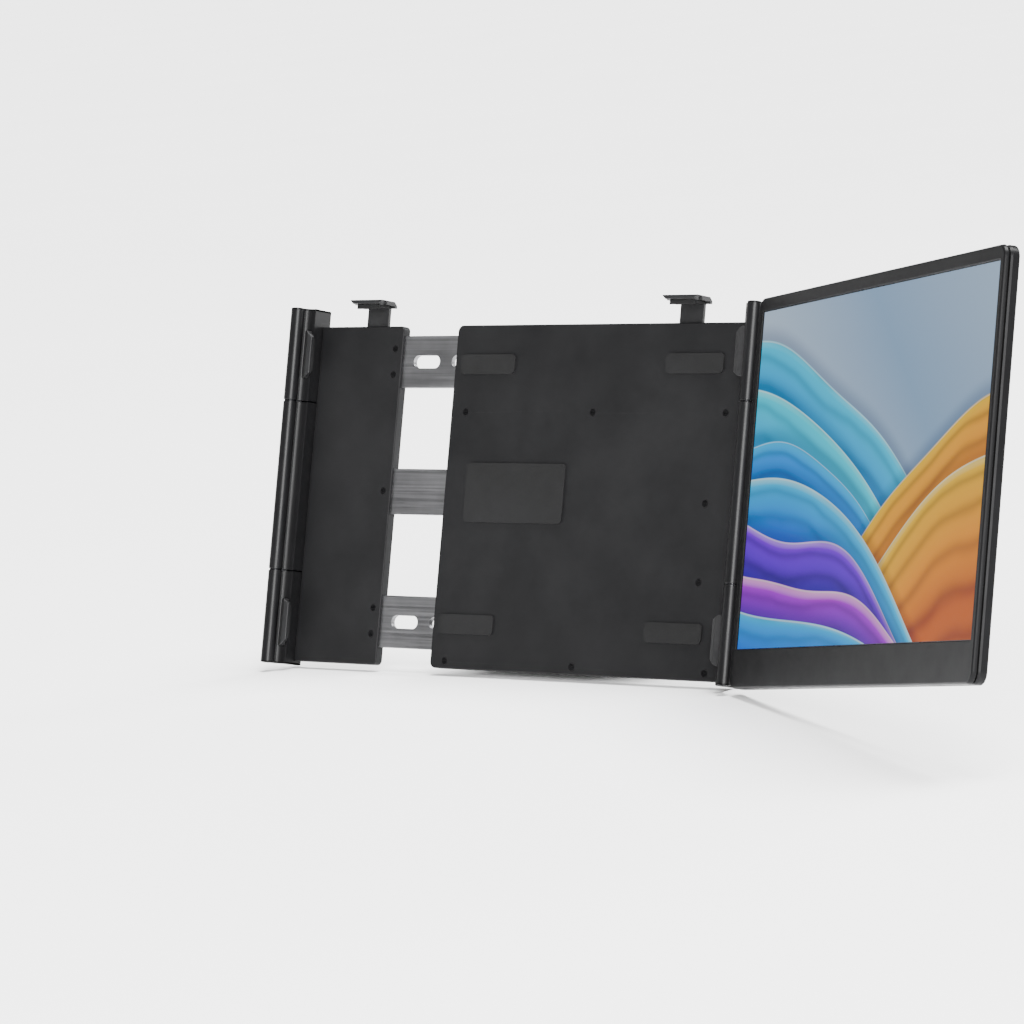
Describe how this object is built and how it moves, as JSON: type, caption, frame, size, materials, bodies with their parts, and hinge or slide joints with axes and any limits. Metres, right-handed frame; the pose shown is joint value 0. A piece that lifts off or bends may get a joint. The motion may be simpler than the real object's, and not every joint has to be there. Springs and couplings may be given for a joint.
{
  "type": "laptop screen extender",
  "caption": "Clip-on portable monitor that clamps behind a laptop lid and swings out beside it on a column hinge, with a spring-loaded sliding frame and kickstand.",
  "frame": {"origin": "centre of the front face of the middle anti-slip pad, where the back of the laptop lid rests", "axes": "+X to the right along the hub, +Z vertical, -Y towards the user; the hub leans back 14.8 degrees about X as the lid it is clamped to does"},
  "size_m": [0.6926, 0.2477, 0.2655],
  "materials": {
    "plastic_hub": "moulded satin black, fine spark texture",
    "plastic_column": "satin black, soft highlight along the barrel",
    "plastic_clip": "satin dark grey",
    "plastic_screen": "satin black, fine texture",
    "plastic_button": "satin black caps",
    "rubber": "matt black rubber",
    "gasket": "matt black",
    "steel": "plain steel",
    "black_steel": "blackened steel",
    "steel_arm": "brushed steel strip",
    "spring_steel": "bright spring wire",
    "kickstand_metal": "black anodised",
    "pom": "natural acetal",
    "display": "lit picture under clear cover",
    "backlight": "pressed tray",
    "board": "green board",
    "ribbon": "amber film"
  },
  "bodies": {
    "hub": {"hub_front_plate": "plastic_hub", "hub_rear_cover": "plastic_hub", "hub_screws": "black_steel", "guide_rails": "pom", "hook_guides": "pom", "lid_pad_center": "rubber", "lid_pads": "rubber", "clamp_springs": "spring_steel", "spring_anchor": "steel", "right_column_upper": "plastic_column", "right_column_lower": "plastic_column", "right_column_caps": "plastic_column", "hinge_pins": "steel", "hinge_washers": "black_steel", "right_clip_upper": "plastic_clip", "right_clip_lower": "plastic_clip", "right_clip_pads": "rubber", "kickstand_brackets": "plastic_hub", "kickstand_pins": "steel"},
    "left_frame": {"left_panel": "plastic_hub", "left_arm_upper": "steel_arm", "left_arm_lower": "steel_arm", "spring_tongue": "steel_arm", "left_panel_screws": "black_steel", "left_column_upper": "plastic_column", "left_column_middle": "plastic_column", "left_column_lower": "plastic_column", "left_column_caps": "plastic_column", "left_column_rod": "steel", "left_column_washers": "black_steel", "left_clip_upper": "plastic_clip", "left_clip_lower": "plastic_clip", "left_clip_pads": "rubber"},
    "left_hook": {"left_hook": "plastic_clip", "left_hook_pad": "rubber"},
    "right_hook": {"right_hook": "plastic_clip", "right_hook_pad": "rubber"},
    "kickstand": {"kickstand": "kickstand_metal", "kickstand_foot": "rubber"},
    "screen": {"screen_front_frame": "plastic_screen", "display_panel": "display", "backlight_unit": "backlight", "shell_gasket": "gasket", "screen_rear_shell": "plastic_screen", "screen_knuckle": "plastic_column", "hinge_leaves": "steel", "hinge_leaf_screws": "steel", "screen_screws": "black_steel", "usb_c_sockets": "steel", "video_socket": "steel", "driver_board": "board", "button_board": "board", "speakers": "plastic_hub", "ribbon_cable": "ribbon"},
    "power_button": {"power_button": "plastic_button"},
    "plus_button": {"plus_button": "plastic_button"},
    "minus_button": {"minus_button": "plastic_button"}
  },
  "joints": [
    {"name": "screen_swing", "type": "hinge", "parent": "hub", "child": "screen", "pos_m": [0.1852, -0.01025, 0.00271], "axis": [0, -0.2554, -0.9668], "range_deg": [-85, 148]},
    {"name": "left_frame_slide", "type": "slide", "parent": "hub", "child": "left_frame", "axis": [-1, 0, 0], "range_m": [-0.044, 0.04], "deforming": ["clamp_springs"]},
    {"name": "right_hook_slide", "type": "slide", "parent": "hub", "child": "right_hook", "axis": [0, 0.2554, 0.9668], "range_m": [-0.009, 0.02]},
    {"name": "left_hook_slide", "type": "slide", "parent": "left_frame", "child": "left_hook", "axis": [0, 0.2554, 0.9668], "range_m": [-0.009, 0.02]},
    {"name": "kickstand_hinge", "type": "hinge", "parent": "hub", "child": "kickstand", "pos_m": [0.037, 0.01492, 0.01261], "axis": [1, 0, 0], "range_deg": [-25, 20]},
    {"name": "power_button_press", "type": "slide", "parent": "screen", "child": "power_button", "axis": [-0.5, -0.8373, 0.2212], "range_m": [0, 0.0005], "stiffness_N_per_m": 600, "springref_m": -0.0003},
    {"name": "plus_button_press", "type": "slide", "parent": "screen", "child": "plus_button", "axis": [-0.5, -0.8373, 0.2212], "range_m": [0, 0.0005], "stiffness_N_per_m": 600, "springref_m": -0.0003},
    {"name": "minus_button_press", "type": "slide", "parent": "screen", "child": "minus_button", "axis": [-0.5, -0.8373, 0.2212], "range_m": [0, 0.0005], "stiffness_N_per_m": 600, "springref_m": -0.0003}
  ]
}
